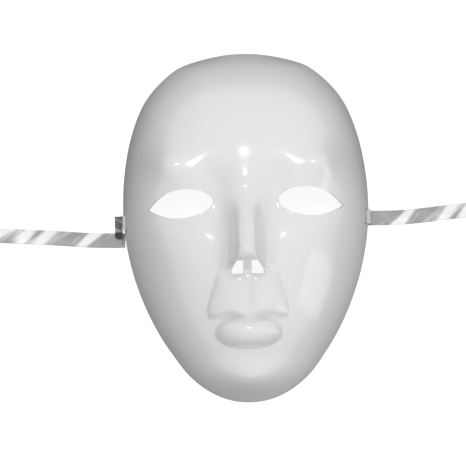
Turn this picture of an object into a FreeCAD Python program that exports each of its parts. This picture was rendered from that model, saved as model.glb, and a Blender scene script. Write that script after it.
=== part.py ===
import FreeCAD, Part
import os
from math import exp, sqrt, tan
import Sketcher

# A blank full-face mask: a thin glossy shell lying face up on its rim, with a satin
# ribbon tied round the bar outside each side slot. Millimetres, +X to the viewer's right,
# +Y towards the forehead, +Z out of the face, z = 0 in the plane of the rim.

Vector = FreeCAD.Vector
doc = FreeCAD.newDocument("blank_mask")

# ---------------------------------------------------------------- driving dimensions
sheet = doc.addObject("Spreadsheet::Sheet", "Sizes")
SIZES = {
    "mask_width": 169.4,
    "mask_length": 240.0,
    "widest_row": 11.2,        # how far the widest row lies above the middle
    "dome_depth": 52.0,  # the face without its features and its steep edge
    "skirt": 5.0,        # the extra height of the steep edge
    "wall": 1.2,
    "slot_row": 5.9,           # the middle of both side slots
    "slot_length": 10.7,
    "slot_low": 3.6,
    "slot_high": 8.0,
    "arch_height": 1.4,        # the rim stands this far off the table at the temples
    "arch_radius": 400.0,
    "eye_inner": 22.2,
    "eye_outer": 66.8,
    "nostril_top": -21.8,
    "nostril_bottom": -30.8,
    "ribbon_width": 10.0,
    "ribbon_thick": 0.5,
    "ribbon_lift": 0.05,
    "loop_across": 83.5,      # the middle of the slot's bar, from the middle plane
    "loop_height": 2.5,
    "loop_outer": 2.45,
    "tail_reach": 90.2,
    "tail_low": -5.5,
    "tail_high": 10.3,
    "dark_end": 4.8,
    "fold_reach": 77.0,
    "roll_radius": 25.5,
    "bore_through": 120.0,
}
for row, (alias, value) in enumerate(SIZES.items(), start=1):
    sheet.set("A%d" % row, alias)
    sheet.set("B%d" % row, str(value))
    sheet.setAlias("B%d" % row, alias)
doc.recompute()


def size(alias):
    return float(getattr(sheet, alias))


HALF = size("mask_width") / 2
MIDDLE = size("mask_length") / 2
WIDEST = size("widest_row")
ABOVE = MIDDLE - WIDEST
BELOW = MIDDLE + WIDEST
DEPTH = size("dome_depth")
WALL = size("wall")
SKIRT = size("skirt")


# ---------------------------------------------------------------- the face's surface
def step(low, high, value):
    """0 before low, 1 after high, with a smooth rise between."""
    share = min(1.0, max(0.0, (value - low) / (high - low)))
    return share * share * (3 - 2 * share)


def bell(distance, spread):
    return exp(-((distance / spread) ** 2))


def pair(x, centre, spread):
    """A bell on each side of the middle plane."""
    return bell(x - centre, spread) + bell(x + centre, spread)


def lower(a, b, blend):
    """The smaller of two heights, with a rounded change from one to the other."""
    near = max(blend - abs(a - b), 0) / blend
    return min(a, b) - near * near * blend / 4


def higher(a, b, blend):
    return -lower(-a, -b, blend)


def edge_share(x, y):
    """0 in the middle of the mask and 1 on its outline: an egg that narrows to the chin."""
    along = (y - WIDEST) / (ABOVE if y > WIDEST else BELOW)
    side = HALF
    if y < WIDEST:
        side = HALF * (1 - 0.124 * along * along / (0.2 + abs(along)))
    power = 2 + 0.12 * step(-85, -105, y) + 1.13 * step(-40, 60, y)
    power -= 0.3 * step(80, 108, y) + 0.6 * step(110, 121, y)
    return (x * x / side**2 + 1e-9) ** (power / 2) + along * along, along


def relief(x, y):
    """What the eye sockets, brow, cheeks, mouth and chin add to the dome."""
    sockets = -4.5 * pair(x, 44, 22) * bell(y - 14, 14) - 4.5 * pair(x, 20, 9) * bell(y - 17, 17)
    sockets -= 3.0 * pair(x, 22, 9) * bell(y - 34, 11)
    brow = 5.6 * pair(x, 54, 12) * bell(y - 45, 10) + 1.5 * bell(x, 10) * bell(y - 36, 12)
    brow += 1.0 * bell(x, 14) * bell(y - 60, 12)
    cheeks = 1.0 * pair(x, 52, 24) * bell(y + 18, 24)
    chin = 10.0 * bell(x, 22) * bell(y + 107, 14) - 1.5 * bell(x, 20) * bell(y + 87, 6)
    muzzle_side = lower(21.8 + 0.33 * (-33 - y), 29.4 - 0.55 * (-58 - y), 6)
    mouth_line = -61.0 + 2.8 * pair(x, 12.5, 8)
    muzzle = 5.5 * max(0, 1 - abs(x / max(muzzle_side, 4)) ** 3) ** 0.8
    muzzle *= step(-3.2, 3.2, y - mouth_line) * step(-22, -36, y)
    muzzle -= 1.3 * bell(x, 3.4) * step(-58, -50, y) * step(-30, -37, y)
    lip = 8.0 * max(0, 1 - abs(x / 23.2) ** 2.4 - ((y + 71) / 11) ** 2) ** 0.85
    lip -= 2.0 * step(25, 17, abs(x)) * bell(y - mouth_line + 1.5, 2.6)
    return sockets + brow + cheeks + chin + muzzle + lip


def nose_over(x, y, base):
    """The nose's own height: a rounded ridge with flat sides, cut by the plane under its tip."""
    tall = max(0, lower(0.5 * (33 - y), 21.5, 10))
    side = 20.6 - 7.5 * exp(-(28 - y) / 22)
    ridge = 0.44 * (1 - step(0.24, 0.68, abs(x) / side)) * step(28, 2, y)
    flank = 0.56 * (1 - (sqrt(x * x + 25) - 5) / (side - 4.4))
    share = max(-3.0, ridge + flank)
    tip = 1.3 * bell(x, 6) * bell(y + 13, 5)
    body = base + tall * share + tip - 0.3 * max(0, y - 22)
    return lower(body, 75.5 + 1.6 * (y + 19.0) - 0.012 * x * x, 7)


def outer_height(x, y):
    share, along = edge_share(x, y)
    fullness = 1.6 + (0.8 if y > WIDEST else 1.0) * along * along
    dome = DEPTH * (1 - share**fullness) + SKIRT * (1 - share**9)
    base = dome + relief(x, y) * step(0, 0.3, 1 - share)
    return higher(higher(base, nose_over(x, y, base), 2.0), -24, 12)


def inner_height(x, y):
    """One wall inside the outer surface, measured square to it."""
    near = 1.5
    slope_x = (outer_height(x + near, y) - outer_height(x - near, y)) / (2 * near)
    slope_y = (outer_height(x, y + near) - outer_height(x, y - near)) / (2 * near)
    return outer_height(x, y) - WALL * sqrt(1 + slope_x**2 + slope_y**2)


def block_under(height, name):
    """The solid under a height surface, down to the rim's plane."""
    across, along = 72, 100
    reach_x, reach_y = HALF + 6, MIDDLE + 6
    rows = []
    for i in range(across + 1):
        x = reach_x * (2 * i / across - 1)
        row = []
        for j in range(along + 1):
            y = reach_y * (2 * j / along - 1)
            row.append(Vector(x, y, height(x, y)))
        rows.append(row)
    surface = Part.BSplineSurface()
    surface.interpolate(rows)
    below = surface.toShape().extrude(Vector(0, 0, -60))
    table = Part.makeBox(4 * HALF, 4 * MIDDLE, 2 * DEPTH, Vector(-2 * HALF, -2 * MIDDLE, 0))
    block = doc.addObject("Part::Feature", name)
    block.Shape = below.common(table)
    return block


outer_block = block_under(outer_height, "outer_block")
inner_block = block_under(inner_height, "inner_block")
blank = doc.addObject("Part::Cut", "blank")
blank.Base = outer_block
blank.Tool = inner_block


# ---------------------------------------------------------------- holes in the shell
def plane_of(body, role):
    return [f for f in body.Origin.OriginFeatures if f.Role == role][0]


def arc(start, middle, end):
    return Part.ArcOfCircle(Vector(*start, 0), Vector(*middle, 0), Vector(*end, 0))


def line(start, end):
    return Part.LineSegment(Vector(*start, 0), Vector(*end, 0))


def through_hole(name, outline):
    """A prism along +Z whose height follows the sheet."""
    sketch = doc.addObject("Sketcher::SketchObject", name + "_outline")
    sketch.addGeometry(outline, False)
    hole = doc.addObject("Part::Extrusion", name)
    hole.Base = sketch
    hole.DirMode = "Custom"
    hole.Dir = Vector(0, 0, 1)
    hole.Solid = True
    hole.setExpression("LengthFwd", "Sizes.bore_through")
    return hole


def eye_outline(side):
    inner = size("eye_inner")
    outer = size("eye_outer")
    corner = (side * outer, 13.5)
    upper = (side * (inner + 2.2), 23.4)
    under = (side * (inner + 2.6), 14.3)
    return [
        arc(corner, (side * 44.0, 27.4), upper),
        arc(upper, (side * inner, 18.9), under),
        arc(under, (side * 46.5, 7.7), corner),
    ]


def nostril_outline(side):
    top = size("nostril_top")
    bottom = size("nostril_bottom")
    corners = [(side * 2.7, top), (side * 7.5, top), (side * 12.0, bottom), (side * 3.1, bottom)]
    return [line(corners[i], corners[(i + 1) % 4]) for i in range(4)]


holes = []
for side, word in ((-1, "left"), (1, "right")):
    holes.append(through_hole(word + "_eye_hole", eye_outline(side)))
    holes.append(through_hole(word + "_nostril_hole", nostril_outline(side)))
    slot = doc.addObject("Part::Box", word + "_slot_hole")
    slot.Length = 22
    slot.setExpression("Width", "Sizes.slot_length")
    slot.setExpression("Height", "Sizes.slot_high - Sizes.slot_low")
    slot.setExpression("Placement.Base.x", "92 * %d - 11 + 11 * %d" % (side, -side))
    slot.setExpression("Placement.Base.y", "Sizes.slot_row - Sizes.slot_length / 2")
    slot.setExpression("Placement.Base.z", "Sizes.slot_low")
    holes.append(slot)

arch = doc.addObject("Part::Cylinder", "temple_arch")
arch.setExpression("Radius", "Sizes.arch_radius")
arch.setExpression("Height", "2 * Sizes.mask_width")
arch.Placement = FreeCAD.Placement(Vector(0, 0, 0), FreeCAD.Rotation(Vector(0, 1, 0), 90))
arch.setExpression("Placement.Base.x", "-Sizes.mask_width")
arch.setExpression("Placement.Base.z", "Sizes.arch_height - Sizes.arch_radius")
holes.append(arch)

all_holes = doc.addObject("Part::MultiFuse", "all_holes")
all_holes.Shapes = holes
mask_shell = doc.addObject("Part::Cut", "mask_shell")
mask_shell.Base = blank
mask_shell.Tool = all_holes
mask_shell.Label = "mask_shell"


# ---------------------------------------------------------------- ribbons
def pad_in(label, role, outlines, low, high):
    """A body that is one sketch on an origin plane, padded from low to high."""
    body = doc.addObject("PartDesign::Body", label + "_body")
    body.Label = label
    sketch = body.newObject("Sketcher::SketchObject", label + "_outline")
    sketch.AttachmentSupport = [(plane_of(body, role), "")]
    sketch.MapMode = "FlatFace"
    sketch.setExpression("AttachmentOffset.Base.z", low)
    for outline in outlines:
        sketch.addGeometry(outline, False)
    pad = body.newObject("PartDesign::Pad", label + "_pad")
    pad.Profile = sketch
    pad.setExpression("Length", high + " - (" + low + ")")
    body.Tip = pad
    return body


# Points along the middle of each strand, seen from above.
LEFT_ROUTE = [
    (-83.5, -6.4), (-105.0, -6.0), (-129.0, -3.6), (-153.0, -1.9), (-178.0, -0.1), (-202.0, 0.5),
]
RIGHT_ROUTE = [
    (83.5, 4.7), (101.0, 4.3), (120.0, 5.4), (140.0, 7.5), (161.0, 9.0), (181.0, 9.8),
]


def strand_path(route):
    """Straight runs joined by tangent arcs, each as large as its two runs allow."""
    points = [Vector(x, y, 0) for x, y in route]
    edges = []
    radii = []
    here = points[0]
    for before, corner, after in zip(points, points[1:], points[2:]):
        into = corner - before
        out = after - corner
        turn = into.getAngle(out)
        cut = 0.45 * min(into.Length, out.Length)
        radii.append(cut / tan(turn / 2))
        into.normalize()
        out.normalize()
        start = corner - into * cut
        end = corner + out * cut
        bulge = (out - into).normalize()
        middle = corner + bulge * (sqrt(cut**2 + radii[-1] ** 2) - radii[-1])
        edges.append(Part.LineSegment(here, start).toShape())
        edges.append(Part.Arc(start, middle, end).toShape())
        here = end
    edges.append(Part.LineSegment(here, points[-1]).toShape())
    return Part.Wire(edges), radii


def strand(label, route):
    """A flat strip on the table along a route."""
    path, radii = strand_path(route)
    width = size("ribbon_width")
    thick = size("ribbon_thick")
    floor = size("ribbon_lift")
    first = Vector(*route[1], 0) - Vector(*route[0], 0)
    square = Vector(-first.y, first.x, 0).normalize() * (width / 2)
    start = Vector(*route[0], floor)
    up = Vector(0, 0, thick)
    corners = [start - square, start + square, start + square + up, start - square + up]
    section = Part.makePolygon(corners + corners[:1])
    path.translate(Vector(0, 0, floor))
    piece = doc.addObject("Part::Feature", label + "_strip")
    piece.Label = label
    sweep = Part.BRepOffsetAPI.MakePipeShell(path)
    sweep.add(section)
    sweep.setTransitionMode(0)
    sweep.build()
    sweep.makeSolid()
    piece.Shape = sweep.shape()
    wanted = path.Length * width * thick
    print(label, "length %.1f mm" % path.Length, "volume share %.4f" % (piece.Shape.Volume / wanted))
    print(label, "radii", ["%.0f" % radius for radius in radii])
    return piece


def coil(label, route, side):
    """The roll at a strand's far end, standing on edge beside the strand's last point."""
    piece = doc.addObject("Part::Cylinder", label + "_roll")
    piece.Label = label
    piece.setExpression("Radius", "Sizes.roll_radius")
    piece.setExpression("Height", "Sizes.ribbon_width")
    end_x, end_y = route[-1]
    piece.setExpression("Placement.Base.x", str(end_x))
    piece.setExpression("Placement.Base.y", "%s + %d * Sizes.roll_radius" % (end_y, side))
    piece.setExpression("Placement.Base.z", "Sizes.ribbon_lift")
    return piece


def loop(label, side):
    """The ribbon's turn round the bar, seen along Y."""
    centre = Vector(side * size("loop_across"), size("loop_height"), 0)
    outer = Part.Circle(centre, Vector(0, 0, 1), size("loop_outer"))
    inner = Part.Circle(centre, Vector(0, 0, 1), size("loop_outer") - size("ribbon_thick"))
    low = "-(Sizes.slot_row + Sizes.ribbon_width / 2)"
    high = "-(Sizes.slot_row - Sizes.ribbon_width / 2)"
    return pad_in(label, "XZ_Plane", [outer, inner], low, high)


def closed(corners):
    return [line(corners[i], corners[(i + 1) % len(corners)]) for i in range(len(corners))]


right_loop = loop("right_ribbon_loop", 1)
right_strand = strand("right_ribbon_strand", RIGHT_ROUTE)
right_coil = coil("right_ribbon_coil", RIGHT_ROUTE, -1)
left_loop = loop("left_ribbon_loop", -1)
left_strand = strand("left_ribbon_strand", LEFT_ROUTE)
left_coil = coil("left_ribbon_coil", LEFT_ROUTE, 1)

# Inside the rim the left ribbon is folded along the wall, from its loop to its strand.
fold_corners = [
    (-size("loop_across"), size("slot_row") + size("ribbon_width") / 2),
    (-size("fold_reach"), size("slot_row") + size("ribbon_width") / 2),
    (-size("fold_reach"), LEFT_ROUTE[0][1] - size("ribbon_width") / 2),
    (-size("loop_across"), LEFT_ROUTE[0][1] - size("ribbon_width") / 2),
]
left_fold = pad_in(
    "left_ribbon_fold", "XY_Plane", [closed(fold_corners)],
    "Sizes.ribbon_lift", "Sizes.ribbon_lift + Sizes.ribbon_thick",
)

# The left ribbon's short end comes out over the bar and lies folded down on the strand.
tail_corners = [(-85.8, 2.4), (-85.8, 3.0), (-size("tail_reach"), 1.35), (-size("tail_reach"), 0.75)]
left_tail = pad_in(
    "left_ribbon_tail", "XZ_Plane", [closed(tail_corners)],
    "-Sizes.tail_high", "-(Sizes.tail_low + Sizes.dark_end)",
)
left_tip = pad_in(
    "left_ribbon_sealed_end", "XZ_Plane", [closed(tail_corners)],
    "-(Sizes.tail_low + Sizes.dark_end)", "-Sizes.tail_low",
)

# ---------------------------------------------------------------- checks and files
NODES = [
    mask_shell, right_loop, right_strand, right_coil,
    left_loop, left_strand, left_coil, left_fold, left_tail, left_tip,
]
doc.recompute()
for thing in doc.Objects:
    if "Invalid" in thing.State or "Error" in thing.State:
        raise RuntimeError(thing.Label + " failed to recompute")
os.makedirs("parts", exist_ok=True)
for node in NODES:
    shape = node.Shape
    if shape.isNull() or not shape.isValid() or not shape.Solids:
        raise RuntimeError(node.Label + " has no valid solid")
    box = shape.BoundBox
    print(node.Label, len(shape.Solids), "volume %.1f" % shape.Volume, box)
    shape.exportStep(os.path.join("parts", node.Label + ".step"))
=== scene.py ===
from math import atan2, cos, exp, hypot, pi, radians, sin, sqrt
import bpy
import numpy as np
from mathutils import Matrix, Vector
from mathutils.geometry import delaunay_2d_cdt
from mathutils.kdtree import KDTree


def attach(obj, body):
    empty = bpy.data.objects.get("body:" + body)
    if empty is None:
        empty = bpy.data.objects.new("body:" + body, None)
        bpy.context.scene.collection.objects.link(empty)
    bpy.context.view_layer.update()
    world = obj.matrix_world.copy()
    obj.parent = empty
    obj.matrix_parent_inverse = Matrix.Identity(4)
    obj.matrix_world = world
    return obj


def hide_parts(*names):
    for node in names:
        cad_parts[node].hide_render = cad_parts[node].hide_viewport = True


# A blank glossy white full-face mask lying face up, with satin ribbon ties. Metres in
# Blender; the face's own formulas and the ribbon routes are in millimetres.

MM = 0.001
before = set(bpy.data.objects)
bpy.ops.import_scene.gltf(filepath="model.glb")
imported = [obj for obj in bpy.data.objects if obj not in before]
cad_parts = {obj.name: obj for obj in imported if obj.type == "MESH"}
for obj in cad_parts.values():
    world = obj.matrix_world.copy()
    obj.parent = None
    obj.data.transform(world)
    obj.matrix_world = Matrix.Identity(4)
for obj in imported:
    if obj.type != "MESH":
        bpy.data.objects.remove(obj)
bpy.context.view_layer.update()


# ---------------------------------------------------------------- camera
def aim_camera():
    """Looks straight down at the face, which appears turned slightly to the left."""
    data = bpy.data.cameras.new("camera")
    camera = bpy.data.objects.new("camera", data)
    bpy.context.scene.collection.objects.link(camera)
    height = 4.0
    seen = 0.3209
    data.sensor_width = 36
    data.lens = 36 * height / seen
    data.clip_end = 10
    camera.location = (-0.0092, -0.0031, height)
    camera.rotation_euler = (0, 0, radians(-1.5))
    bpy.context.scene.camera = camera


aim_camera()


# ---------------------------------------------------------------- material helpers
class Material:
    """A node material around one Principled BSDF."""

    def __init__(self, name, **values):
        self.material = bpy.data.materials.new(name)
        self.material.use_nodes = True
        self.nodes = self.material.node_tree.nodes
        self.links = self.material.node_tree.links
        self.shader = self.nodes["Principled BSDF"]
        for socket, value in values.items():
            self.shader.inputs[socket.replace("_", " ")].default_value = value
        self.place = self.nodes.new("ShaderNodeTexCoord")

    def noise(self, scale, detail=3.0, stretch=None, coordinate="Object"):
        """Noise over the piece; stretch scales it along X, Y and Z."""
        noise = self.nodes.new("ShaderNodeTexNoise")
        noise.inputs["Scale"].default_value = scale
        noise.inputs["Detail"].default_value = detail
        source = self.place.outputs[coordinate]
        if stretch:
            mapping = self.nodes.new("ShaderNodeMapping")
            mapping.inputs["Scale"].default_value = stretch
            self.links.new(source, mapping.inputs["Vector"])
            source = mapping.outputs["Vector"]
        self.links.new(source, noise.inputs["Vector"])
        return noise.outputs["Fac"]

    def ramp(self, value, low, high, start=0.0, end=1.0):
        """Maps value from start..end onto low..high."""
        ramp = self.nodes.new("ShaderNodeMapRange")
        ramp.inputs["From Min"].default_value = start
        ramp.inputs["From Max"].default_value = end
        ramp.inputs["To Min"].default_value = low
        ramp.inputs["To Max"].default_value = high
        self.links.new(value, ramp.inputs["Value"])
        return ramp.outputs["Result"]

    def tones(self, value, dark, light):
        """A colour between two greys."""
        mix = self.nodes.new("ShaderNodeMix")
        mix.data_type = "RGBA"
        mix.inputs[6].default_value = (*dark, 1)
        mix.inputs[7].default_value = (*light, 1)
        self.links.new(value, mix.inputs[0])
        return mix.outputs[2]

    def bump(self, value, height, strength=1.0):
        bump = self.nodes.new("ShaderNodeBump")
        bump.inputs["Strength"].default_value = strength
        bump.inputs["Distance"].default_value = height
        self.links.new(value, bump.inputs["Height"])
        self.links.new(bump.outputs["Normal"], self.shader.inputs["Normal"])

    def feed(self, socket, value):
        self.links.new(value, self.shader.inputs[socket])


def gloss_plastic():
    """Vacuum-formed white sheet: a hard gloss with a very faint ripple and fine dust."""
    made = Material("gloss_plastic", Roughness=0.13, IOR=1.5, Coat_Weight=0.25, Coat_Roughness=0.05)
    cloud = made.noise(14, 2)
    made.feed("Base Color", made.tones(cloud, (0.76, 0.76, 0.76), (0.81, 0.81, 0.81)))
    made.feed("Roughness", made.ramp(made.noise(900, 4), 0.10, 0.19, 0.35, 0.65))
    made.bump(made.noise(55, 2), 0.00012, 0.5)
    return made.material


def satin(name, dark, light, band=9.0):
    """Satin ribbon: painted sheen, slanting light and dark bands in the base colour for where it
    bends, over fine crosswise threads.
    """
    made = Material(name, Roughness=0.36, Anisotropic=0.6)
    mapping = made.nodes.new("ShaderNodeMapping")
    mapping.vector_type = "TEXTURE"
    mapping.inputs["Rotation"].default_value = (0, 0, radians(-48))
    mapping.inputs["Scale"].default_value = (1 / band, 6 / band, 1)
    made.links.new(made.place.outputs["UV"], mapping.inputs["Vector"])
    noise = made.nodes.new("ShaderNodeTexNoise")
    noise.inputs["Scale"].default_value = 1.0
    noise.inputs["Detail"].default_value = 2.5
    made.links.new(mapping.outputs["Vector"], noise.inputs["Vector"])
    # painted sheen: noise bands that pick between the dark and light tones
    painted_sheen = made.ramp(noise.outputs["Fac"], 0.0, 1.0, 0.47, 0.57)
    made.feed("Base Color", made.tones(painted_sheen, (dark,) * 3, (light,) * 3))
    threads = made.noise(1.0, 2, (900, 60, 1), "UV")
    made.feed("Roughness", made.ramp(threads, 0.26, 0.46, 0.3, 0.7))
    made.bump(threads, 0.00004, 0.6)
    return made.material


def painted_shade_satin():
    """Near-black satin: painted shade for the deep shadow between the ribbon's tail and its strand,
    speckled in tone, roughness and bumps.
    """
    made = Material("painted_shade_satin", Roughness=0.3)
    speckle = made.noise(700, 4)
    made.feed("Base Color", made.tones(speckle, (0.004, 0.004, 0.004), (0.05, 0.05, 0.05)))
    made.feed("Roughness", made.ramp(speckle, 0.2, 0.5, 0.3, 0.7))
    made.bump(speckle, 0.0003, 0.7)
    return made.material


def dress(piece, material, body, slot, *nodes):
    """Gives a piece its material and its place in the model."""
    piece.data.materials.append(material)
    piece.data.shade_smooth()
    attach(piece, body)
    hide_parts(*nodes)
    return piece


def mesh_piece(name, points, faces, uvs=None):
    mesh = bpy.data.meshes.new(name)
    mesh.from_pydata([tuple(p) for p in points], [], faces)
    if uvs is not None:
        layer = mesh.uv_layers.new(name="UVMap")
        for loop in mesh.loops:
            layer.data[loop.index].uv = uvs[loop.vertex_index]
    mesh.validate()
    piece = bpy.data.objects.new(name, mesh)
    bpy.context.scene.collection.objects.link(piece)
    return piece


# ---------------------------------------------------------------- the ribbons' routes
LEFT_ROUTE = [
    (-83.5, -6.4), (-105.0, -6.0), (-129.0, -3.6), (-153.0, -1.9), (-178.0, -0.1), (-202.0, 0.5),
]
RIGHT_ROUTE = [
    (83.5, 4.7), (101.0, 4.3), (120.0, 5.4), (140.0, 7.5), (161.0, 9.0), (181.0, 9.8),
]
RIBBON_WIDTH = 10.0
RIBBON_THICK = 0.30
BAR_ACROSS, BAR_HEIGHT = 83.5, 2.5
ROLL_RADIUS = 25.0
ROLL_GAP = 4.1
ROLL_TURNS = 1.9
STEPS_A_TURN = 16


def ribbon_line(name, route, side):
    """Points along the ribbon: the strand's own NURBS line, then its roll on edge."""
    data = bpy.data.curves.new(name + "_line", "CURVE")
    data.dimensions = "3D"
    spline = data.splines.new("NURBS")
    end_x, end_y = route[-1]
    outwards = 1 if end_x > 0 else -1
    points = [(x, y, 0.3) for x, y in route[:-1]]
    centre = (end_x, end_y + side * ROLL_RADIUS)
    for i in range(int(ROLL_TURNS * STEPS_A_TURN) + 1):
        turned = 2 * pi * i / STEPS_A_TURN
        radius = ROLL_RADIUS - ROLL_GAP * max(0, i / STEPS_A_TURN - 0.1)
        x = centre[0] + outwards * radius * sin(turned)
        y = centre[1] - side * radius * cos(turned)
        points.append((x, y, 0.3))
    spline.points.add(len(points) - 1)
    for point, place in zip(spline.points, points):
        point.co = (place[0] * MM, place[1] * MM, place[2] * MM, 1)
    spline.order_u = 3
    spline.use_endpoint_u = True
    spline.resolution_u = 12
    curve = bpy.data.objects.new(name + "_line", data)
    bpy.context.scene.collection.objects.link(curve)
    mesh = bpy.data.meshes.new_from_object(curve)
    line = [vertex.co.copy() for vertex in mesh.vertices]
    bpy.data.objects.remove(curve)
    return line


def step(low, high, value):
    """0 before low, 1 after high, with a smooth rise between."""
    share = min(1.0, max(0.0, (value - low) / (high - low)))
    return share * share * (3 - 2 * share)


def ribbon_strip(name, line, lift, twist, across=12):
    """A thin strip along a line. lift(d, v) gives its height in millimetres above the table
    at distance d and share v of its width; twist is where it turns on edge."""
    half = RIBBON_WIDTH / 2
    distance = 0.0
    points, uvs, path = [], [], []
    previous = line[0]
    for i, place in enumerate(line):
        distance += (place - previous).length / MM
        previous = place
        ahead = line[min(i + 1, len(line) - 1)] - line[max(i - 1, 0)]
        along = Vector((ahead.x, ahead.y, 0)).normalized()
        square = Vector((-along.y, along.x, 0))
        turn = step(twist[0], twist[1], distance) * pi / 2
        over = square * cos(turn) + Vector((0, 0, 1)) * sin(turn)
        normal = Vector((0, 0, 1)) * cos(turn) - square * sin(turn)
        raised = half * sin(turn)
        path.append(place + Vector((0, 0, raised * MM)))
        for top in (1, 0):
            for j in range(across + 1):
                v = 2 * j / across - 1
                height = lift(distance, v) * cos(turn) + RIBBON_THICK * top
                spot = Vector((place.x, place.y, 0)) + (over * (v * half) + normal * height) * MM
                spot.z += raised * MM
                points.append(spot)
                uvs.append((distance / 100, v * 0.05))
    faces = []
    ring = 2 * (across + 1)
    for i in range(len(line) - 1):
        a, b = i * ring, (i + 1) * ring
        for j in range(across):
            faces.append((a + j, a + j + 1, b + j + 1, b + j))
            low = across + 1 + j
            faces.append((a + low, b + low, b + low + 1, a + low + 1))
        faces.append((a, b, b + across + 1, a + across + 1))
        faces.append((a + across, a + ring - 1, b + ring - 1, b + across))
    for a in (0, (len(line) - 1) * ring):
        for j in range(across):
            corners = (a + j, a + across + 1 + j, a + across + 2 + j, a + j + 1)
            faces.append(corners if a == 0 else corners[::-1])
    return mesh_piece(name, points, faces, uvs), path


satin_white = satin("satin_white", 0.36, 0.92)
# A lighter copy of the ribbon satin: painted light on the loop where it turns over the bar.
satin_painted_lit = satin("satin_painted_lit", 0.62, 0.95)
satin_shaded = satin("satin_shaded", 0.12, 0.34, 40.0)


def left_lift(distance, v):
    """Soft waves: the strand bellies up between the rim and the picture's edge."""
    wave = 0.5 - 0.5 * cos(distance * 2 * pi / 31)
    return 0.15 + 1.1 * wave * step(6, 20, distance) + 0.5 * v * v * step(8, 30, distance)


def right_lift(distance, v):
    wave = 0.5 - 0.5 * cos((distance + 7 * v) * 2 * pi / 24)
    return 0.15 + 1.0 * wave * step(5, 16, distance) + 0.4 * v * v * step(6, 20, distance)


def make_strand(side_name, route, side, lift, twist):
    line = ribbon_line(side_name, route, side)
    strip, path = ribbon_strip(side_name + "_ribbon", line, lift, twist)
    dress(
        strip, satin_white, side_name + "_ribbon", "satin_ribbon",
        side_name + "_ribbon_strand", side_name + "_ribbon_coil",
    )
    strip.visible_glossy = False


make_strand("left", LEFT_ROUTE, 1, left_lift, (95, 121))
make_strand("right", RIGHT_ROUTE, -1, right_lift, (76, 99))


def ribbon_loop(name, side, node):
    """The ribbon's turn round the bar: out through the slot, over and under the bar."""
    radius = 2.1
    points, uvs, faces = [], [], []
    around, along = 40, 10
    for i in range(around):
        turn = 2 * pi * i / around
        for layer in (0.0, RIBBON_THICK):
            for j in range(along + 1):
                y = 0.95 + 9.9 * j / along
                x = side * BAR_ACROSS + (radius + layer) * cos(turn)
                z = BAR_HEIGHT + (radius + layer) * sin(turn)
                points.append((x * MM, y * MM, z * MM))
                uvs.append((turn * radius / 100, (j / along - 0.5) * 0.1))
    ring = 2 * (along + 1)
    for i in range(around):
        a, b = i * ring, (i + 1) % around * ring
        for j in range(along):
            faces.append((a + j, b + j, b + j + 1, a + j + 1))
            low = along + 1 + j
            faces.append((a + low, a + low + 1, b + low + 1, b + low))
        faces.append((a, a + along + 1, b + along + 1, b))
        faces.append((a + along, b + along, b + ring - 1, a + ring - 1))
    piece = mesh_piece(name, points, faces, uvs)
    return dress(piece, satin_painted_lit, node, "satin_ribbon", node + "_loop")


ribbon_loop("left_loop", -1, "left_ribbon")
ribbon_loop("right_loop", 1, "right_ribbon")


# ---------------------------------------------------------------- the shell's surface
HALF = 84.7
MIDDLE = 120.0
WIDEST = 11.2
ABOVE = MIDDLE - WIDEST
BELOW = MIDDLE + WIDEST
DEPTH = 52.0
SKIRT = 5.0
WALL = 1.2
ARCH_HEIGHT = 1.4
ARCH_RADIUS = 400.0
EYE_INNER, EYE_OUTER = 22.2, 66.8
NOSTRIL_TOP, NOSTRIL_BOTTOM = -21.8, -30.8
SLOT_ROW, SLOT_LENGTH = 5.9, 10.7
SLOT_LOW, SLOT_HIGH = 3.6, 8.0


def bell(distance, spread):
    return exp(-((distance / spread) ** 2))


def pair(x, centre, spread):
    """A bell on each side of the middle plane."""
    return bell(x - centre, spread) + bell(x + centre, spread)


def lower(a, b, blend):
    """The smaller of two heights, with a rounded change from one to the other."""
    near = max(blend - abs(a - b), 0) / blend
    return min(a, b) - near * near * blend / 4


def higher(a, b, blend):
    return -lower(-a, -b, blend)


def edge_share(x, y):
    """0 in the middle of the mask and 1 on its outline: an egg that narrows to the chin."""
    along = (y - WIDEST) / (ABOVE if y > WIDEST else BELOW)
    side = HALF
    if y < WIDEST:
        side = HALF * (1 - 0.124 * along * along / (0.2 + abs(along)))
    power = 2 + 0.12 * step(-85, -105, y) + 1.13 * step(-40, 60, y)
    power -= 0.3 * step(80, 108, y) + 0.6 * step(110, 121, y)
    return (x * x / side**2 + 1e-9) ** (power / 2) + along * along, along


def relief(x, y):
    """What the eye sockets, brow, cheeks, mouth and chin add to the dome."""
    sockets = -4.5 * pair(x, 44, 22) * bell(y - 14, 14) - 4.5 * pair(x, 20, 9) * bell(y - 17, 17)
    sockets -= 3.0 * pair(x, 22, 9) * bell(y - 34, 11)
    brow = 5.6 * pair(x, 54, 12) * bell(y - 45, 10) + 1.5 * bell(x, 10) * bell(y - 36, 12)
    brow += 1.0 * bell(x, 14) * bell(y - 60, 12)
    cheeks = 1.0 * pair(x, 52, 24) * bell(y + 18, 24)
    chin = 10.0 * bell(x, 22) * bell(y + 107, 14) - 1.5 * bell(x, 20) * bell(y + 87, 6)
    muzzle_side = lower(21.8 + 0.33 * (-33 - y), 29.4 - 0.55 * (-58 - y), 6)
    mouth_line = -61.0 + 2.8 * pair(x, 12.5, 8)
    muzzle = 5.5 * max(0, 1 - abs(x / max(muzzle_side, 4)) ** 3) ** 0.8
    muzzle *= step(-3.2, 3.2, y - mouth_line) * step(-22, -36, y)
    muzzle -= 1.3 * bell(x, 3.4) * step(-58, -50, y) * step(-30, -37, y)
    lip = 8.0 * max(0, 1 - abs(x / 23.2) ** 2.4 - ((y + 71) / 11) ** 2) ** 0.85
    lip -= 2.0 * step(25, 17, abs(x)) * bell(y - mouth_line + 1.5, 2.6)
    return sockets + brow + cheeks + chin + muzzle + lip


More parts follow.
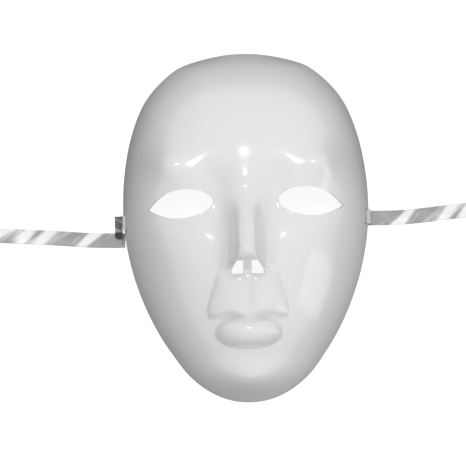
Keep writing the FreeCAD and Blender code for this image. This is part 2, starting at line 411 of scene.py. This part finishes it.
def nose_over(x, y, base):
    """The nose's own height: a rounded ridge with flat sides, cut by the plane under its tip."""
    tall = max(0, lower(0.5 * (33 - y), 21.5, 10))
    side = 20.6 - 7.5 * exp(-(28 - y) / 22)
    ridge = 0.44 * (1 - step(0.24, 0.68, abs(x) / side)) * step(28, 2, y)
    flank = 0.56 * (1 - (sqrt(x * x + 25) - 5) / (side - 4.4))
    share = max(-3.0, ridge + flank)
    tip = 1.3 * bell(x, 6) * bell(y + 13, 5)
    body = base + tall * share + tip - 0.3 * max(0, y - 22)
    return lower(body, 75.5 + 1.6 * (y + 19.0) - 0.012 * x * x, 7)


def outer_height(x, y):
    share, along = edge_share(x, y)
    fullness = 1.6 + (0.8 if y > WIDEST else 1.0) * along * along
    dome = DEPTH * (1 - share**fullness) + SKIRT * (1 - share**9)
    base = dome + relief(x, y) * step(0, 0.3, 1 - share)
    return higher(higher(base, nose_over(x, y, base), 2.0), -24, 12)


def rim_height(y):
    """The rim is arched clear of the table at the temples."""
    return max(0.0, ARCH_HEIGHT - ARCH_RADIUS + sqrt(ARCH_RADIUS**2 - y * y))


def rim_outline(count=620):
    """Points on the shell's outer edge, evenly spaced round it."""
    rough = []
    for i in range(count * 2):
        turn = 2 * pi * i / (count * 2)
        low, high = 60.0, 130.0
        for _ in range(40):
            middle = (low + high) / 2
            x, y = middle * cos(turn), middle * sin(turn)
            if outer_height(x, y) > rim_height(y):
                low = middle
            else:
                high = middle
        rough.append((low * cos(turn), low * sin(turn)))
    return even(rough, count)


def even(ring, count):
    """The same closed ring with evenly spaced points."""
    closed = np.array(ring + ring[:1])
    far = np.concatenate([[0], np.cumsum(np.hypot(*np.diff(closed, axis=0).T))])
    at = np.linspace(0, far[-1], count, endpoint=False)
    return [(np.interp(d, far, closed[:, 0]), np.interp(d, far, closed[:, 1])) for d in at]


def arc_through(start, middle, end, count):
    """Points from start to just before end, on the circle through all three."""
    (ax, ay), (bx, by), (cx, cy) = start, middle, end
    d = 2 * (ax * (by - cy) + bx * (cy - ay) + cx * (ay - by))
    a2, b2, c2 = ax * ax + ay * ay, bx * bx + by * by, cx * cx + cy * cy
    ux = (a2 * (by - cy) + b2 * (cy - ay) + c2 * (ay - by)) / d
    uy = (a2 * (cx - bx) + b2 * (ax - cx) + c2 * (bx - ax)) / d
    radius = hypot(ax - ux, ay - uy)
    first = atan2(ay - uy, ax - ux)
    half = (atan2(by - uy, bx - ux) - first + pi) % (2 * pi) - pi
    last = (atan2(cy - uy, cx - ux) - first) % (2 * pi)
    if half < 0:
        last -= 2 * pi
    turns = [first + last * i / count for i in range(count)]
    return [(ux + radius * cos(turn), uy + radius * sin(turn)) for turn in turns]


def eye_outline(side):
    corner = (EYE_OUTER, 13.5)
    upper = (EYE_INNER + 2.2, 23.4)
    under = (EYE_INNER + 2.6, 14.3)
    ring = arc_through(corner, (44.0, 27.4), upper, 70)
    ring += arc_through(upper, (EYE_INNER, 18.9), under, 16)
    ring += arc_through(under, (46.5, 7.7), corner, 60)
    return [(side * x, y) for x, y in ring]


def straight_ring(corners, spacing):
    """A closed polygon with points along its sides."""
    ring = []
    for (ax, ay), (bx, by) in zip(corners, corners[1:] + corners[:1]):
        count = max(1, round(hypot(bx - ax, by - ay) / spacing))
        ring += [(ax + (bx - ax) * i / count, ay + (by - ay) * i / count) for i in range(count)]
    return ring


def nostril_outline(side):
    top, bottom = NOSTRIL_TOP, NOSTRIL_BOTTOM
    corners = [(2.7, top), (7.5, top), (12.0, bottom), (3.1, bottom)]
    return [(side * x, y) for x, y in straight_ring(corners, 0.7)]


def across_at(height, y):
    """How far out the outer surface comes down to a height."""
    low, high = 60.0, 90.0
    for _ in range(40):
        middle = (low + high) / 2
        if outer_height(middle, y) > height:
            low = middle
        else:
            high = middle
    return low


def slot_outline(side):
    low_y, high_y = SLOT_ROW - SLOT_LENGTH / 2, SLOT_ROW + SLOT_LENGTH / 2
    corners = [(SLOT_HIGH, low_y), (SLOT_LOW, low_y), (SLOT_LOW, high_y), (SLOT_HIGH, high_y)]
    ring = [(across_at(z, y), y) for z, y in corners]
    return [(side * x, y) for x, y in straight_ring(ring, 0.8)]


def inside(points, ring):
    """Which points lie inside a closed ring, by counting crossings."""
    x, y = points[:, 0], points[:, 1]
    found = np.zeros(len(points), bool)
    for (ax, ay), (bx, by) in zip(ring, ring[1:] + ring[:1]):
        if ay == by:
            continue
        crosses = (ay > y) != (by > y)
        found ^= crosses & (x < (bx - ax) * (y - ay) / (by - ay) + ax)
    return found


def shell_mesh(spacing=1.05):
    """The face as a fine triangle mesh with clean edges round its holes, one wall thick."""
    rings = [rim_outline()]
    for side in (-1, 1):
        rings += [eye_outline(side), nostril_outline(side), slot_outline(side)]
    edge_points = [point for ring in rings for point in ring]
    links, start = [], 0
    for ring in rings:
        links += [(start + i, start + (i + 1) % len(ring)) for i in range(len(ring))]
        start += len(ring)
    tree = KDTree(len(edge_points))
    for i, (x, y) in enumerate(edge_points):
        tree.insert((x, y, 0), i)
    tree.balance()
    grid = []
    rows = int(2 * MIDDLE / (spacing * 0.866)) + 2
    columns = int(2 * HALF / spacing) + 2
    for j in range(rows):
        for i in range(columns):
            x = (i - columns / 2 + 0.5 * (j % 2)) * spacing
            y = (j - rows / 2) * spacing * 0.866
            if tree.find((x, y, 0))[2] > 0.55 * spacing:
                grid.append((x, y))
    grid = np.array(grid)
    kept = inside(grid, rings[0])
    for ring in rings[1:]:
        kept &= ~inside(grid, ring)
    flat = [Vector(p) for p in edge_points] + [Vector(p) for p in grid[kept]]
    made = delaunay_2d_cdt(flat, links, [], 0, 1e-6)
    flat = [(p.x, p.y) for p in made[0]]
    triangles = [t for t in made[2] if len(t) == 3]
    middles = np.array([np.mean([flat[i] for i in t], axis=0) for t in triangles])
    wanted = inside(middles, rings[0])
    for ring in rings[1:]:
        wanted &= ~inside(middles, ring)
    triangles = [t for t, keep in zip(triangles, wanted) if keep]

    count = {}
    for t in triangles:
        for a, b in ((t[0], t[1]), (t[1], t[2]), (t[2], t[0])):
            count[(a, b)] = count.get((a, b), 0) + 1
    border = [(a, b) for a, b in count if (b, a) not in count]
    on_rim = {}
    rim = np.array(rings[0])
    for a, _ in border:
        on_rim[a] = np.min(np.hypot(*(rim - np.array(flat[a])).T)) < 0.01

    outer, inner = [], []
    near = 0.4
    for i, (x, y) in enumerate(flat):
        z = outer_height(x, y)
        slope_x = (outer_height(x + near, y) - outer_height(x - near, y)) / (2 * near)
        slope_y = (outer_height(x, y + near) - outer_height(x, y - near)) / (2 * near)
        steep = sqrt(1 + slope_x**2 + slope_y**2)
        outer.append((x, y, z))
        if on_rim.get(i):
            level = hypot(slope_x, slope_y)
            reach = WALL * steep / level / level
            inner.append((x + slope_x * reach, y + slope_y * reach, z))
        else:
            back = WALL / steep
            inner.append((x + slope_x * back, y + slope_y * back, z - back))
    shift = len(outer)
    points = [(x * MM, y * MM, max(z, 0.0) * MM) for x, y, z in outer + inner]
    faces = [tuple(t) for t in triangles]
    faces += [(t[2] + shift, t[1] + shift, t[0] + shift) for t in triangles]
    faces += [(b, a, a + shift, b + shift) for a, b in border]
    return points, faces


def make_shell():
    points, faces = shell_mesh()
    shell = mesh_piece("shell", points, faces)
    dress(shell, gloss_plastic(), "shell", "shell_plastic", "mask_shell")
    shell.data.set_sharp_from_angle(angle=radians(42))


make_shell()


# ---------------------------------------------------------------- the left ribbon's tail
def make_tail():
    """The short end, out of the slot, over the bar and folded down across the strand."""
    across = 12
    low, high = -5.4, 10.2
    # From low to dark_from the tail is painted shade: near-black satin for the shadow between tail
    # and strand; its node and slot keep the name of a sealed end.
    dark_from = low + 4.8
    over_bar = [(-84.6, 4.6), (-85.6, 4.1), (-86.5, 3.2), (-87.8, 2.3), (-89.2, 1.9), (-90.1, 1.8)]
    over_bar += [(-90.3, 1.5), (-90.1, 1.2), (-88.6, 1.3), (-87.0, 1.8), (-86.0, 2.7)]
    # past the slot it lies lower, and so clears the shell when the ribbon swings up
    past_slot = [(-85.0, 2.3), (-85.7, 2.3), (-86.5, 2.2), (-87.8, 2.0), (-89.2, 1.85), (-90.1, 1.8)]
    past_slot += [(-90.3, 1.5), (-90.1, 1.2), (-88.6, 1.3), (-87.0, 1.5), (-85.9, 1.6)]
    for name, first, last, material, slot, node in (
        ("tail", dark_from, high, satin_shaded, "satin_ribbon", "left_ribbon_tail"),
        ("tail_end", low, dark_from, painted_shade_satin(), "sealed_ribbon", "left_ribbon_sealed_end"),
    ):
        points, uvs, faces = [], [], []
        for j in range(across + 1):
            y = first + (last - first) * j / across
            sag = 0.35 * sin(j * 1.9) + 0.25 * cos(j * 3.1)
            tuck = 1.6 * step(-3.8, low, y) ** 2
            share = step(0.8, 2.4, y)
            for i, (lying, raised) in enumerate(zip(past_slot, over_bar)):
                x = lying[0] + share * (raised[0] - lying[0])
                z = lying[1] + share * (raised[1] - lying[1])
                outwards = max(0.0, (-85 - x) / 5)
                points.append(((x + tuck * outwards) * MM, y * MM, (z + 0.4 * sag * outwards) * MM))
                uvs.append((y / 100, i * 0.008))
        ring = len(over_bar)
        for j in range(across):
            for i in range(ring):
                a, b = j * ring + i, j * ring + (i + 1) % ring
                faces.append((a, b, b + ring, a + ring))
        faces.append(tuple(range(ring))[::-1])
        faces.append(tuple(across * ring + i for i in range(ring)))
        piece = mesh_piece(name, points, faces, uvs)
        dress(piece, material, "left_ribbon", slot, node)
        piece.data.set_sharp_from_angle(angle=radians(55))


def make_fold():
    """Inside the rim the ribbon lies folded between its loop and its strand."""
    points, uvs, faces = [], [], []
    across, along = 6, 24
    for layer in (0, 1):
        for j in range(along + 1):
            y = -11.2 + 22.0 * j / along
            for i in range(across + 1):
                x = -82.6 + 5.4 * i / across
                z = 0.1 + 0.3 * layer + 0.25 * (1 + sin(j * 0.9)) * i / across
                points.append((x * MM, y * MM, z * MM))
                uvs.append((y / 100, i * 0.008))
    row, sheet = across + 1, (across + 1) * (along + 1)
    for j in range(along):
        for i in range(across):
            a = j * row + i
            faces.append((a, a + row, a + row + 1, a + 1))
            faces.append((a + sheet, a + sheet + 1, a + sheet + row + 1, a + sheet + row))
    for j in range(along):
        for a in (j * row, j * row + across):
            faces.append((a, a + row, a + row + sheet, a + sheet))
    for i in range(across):
        for a in (i, along * row + i):
            faces.append((a, a + 1, a + 1 + sheet, a + sheet))
    fold = mesh_piece("fold", points, faces, uvs)
    dress(fold, satin_white, "left_ribbon", "satin_ribbon", "left_ribbon_fold")


make_tail()
make_fold()


# ---------------------------------------------------------------- floor, lights, world
def make_floor():
    """A plain white table top and walls, kept out of reflections and bounced light."""
    made = Material("white_table", Roughness=0.9)
    paper = made.noise(6, 2)
    made.feed("Base Color", made.tones(paper, (0.20, 0.20, 0.20), (0.22, 0.22, 0.22)))
    made.shader.inputs["Specular IOR Level"].default_value = 0.0
    made.shader.inputs["Emission Color"].default_value = (1, 1, 1, 1)
    made.shader.inputs["Emission Strength"].default_value = 0.93
    reach, top, base = 9.0, 7.0, -0.0003
    corners = [(-reach, -reach), (reach, -reach), (reach, reach), (-reach, reach)]
    low = [(x, y, base) for x, y in corners]
    high = [(x, y, top) for x, y in corners]
    sides = [(i, i + 4, (i + 1) % 4 + 4, (i + 1) % 4) for i in range(4)]
    floor = mesh_piece("floor", low, [(0, 1, 2, 3)])
    walls = mesh_piece("walls", low + high, sides)
    walls.visible_shadow = False
    for piece in (floor, walls):
        piece.data.materials.append(made.material)
        piece.visible_diffuse = False
        piece.visible_glossy = False


def area_light(name, place, size, power, mirrored=True):
    """A rectangular lamp aimed at the face; mirrored is whether the gloss reflects it."""
    data = bpy.data.lights.new(name, "AREA")
    data.shape = "RECTANGLE"
    data.size, data.size_y = size
    data.energy = power
    light = bpy.data.objects.new(name, data)
    bpy.context.scene.collection.objects.link(light)
    light.location = place
    towards = Vector((0, 0, 0.04)) - Vector(place)
    light.rotation_euler = towards.to_track_quat("-Z", "Y").to_euler()
    light.visible_glossy = mirrored


def make_world():
    """A pale room: bright overhead, darker towards and below the horizon."""
    world = bpy.data.worlds.new("room")
    world.use_nodes = True
    nodes, links = world.node_tree.nodes, world.node_tree.links
    background = nodes["Background"]
    background.inputs["Color"].default_value = (1, 1, 1, 1)
    place = nodes.new("ShaderNodeTexCoord")
    parts = nodes.new("ShaderNodeSeparateXYZ")
    ramp = nodes.new("ShaderNodeMapRange")
    ramp.inputs["From Min"].default_value = 0.02
    ramp.inputs["From Max"].default_value = 0.22
    ramp.inputs["To Min"].default_value = 0.02
    ramp.inputs["To Max"].default_value = 0.77
    aside = nodes.new("ShaderNodeMath")
    aside.operation = "MULTIPLY_ADD"
    aside.inputs[1].default_value = 0.10
    links.new(place.outputs["Generated"], parts.inputs["Vector"])
    links.new(parts.outputs["X"], aside.inputs[0])
    links.new(parts.outputs["Z"], aside.inputs[2])
    links.new(aside.outputs["Value"], ramp.inputs["Value"])
    links.new(ramp.outputs["Result"], background.inputs["Strength"])
    bpy.context.scene.world = world


make_floor()
make_world()
area_light("key", (0.0, 0.33, 1.6), (0.16, 0.16), 4)
area_light("window", (1.15, -0.55, 0.35), (0.3, 1.1), 1.6)
area_light("chin_fill", (0.1, -1.7, 0.7), (0.9, 0.6), 2.5, mirrored=False)
area_light("brow_fill", (-0.1, 1.7, 0.7), (0.9, 0.6), 4.5, mirrored=False)
bpy.context.scene.view_settings.view_transform = "Standard"
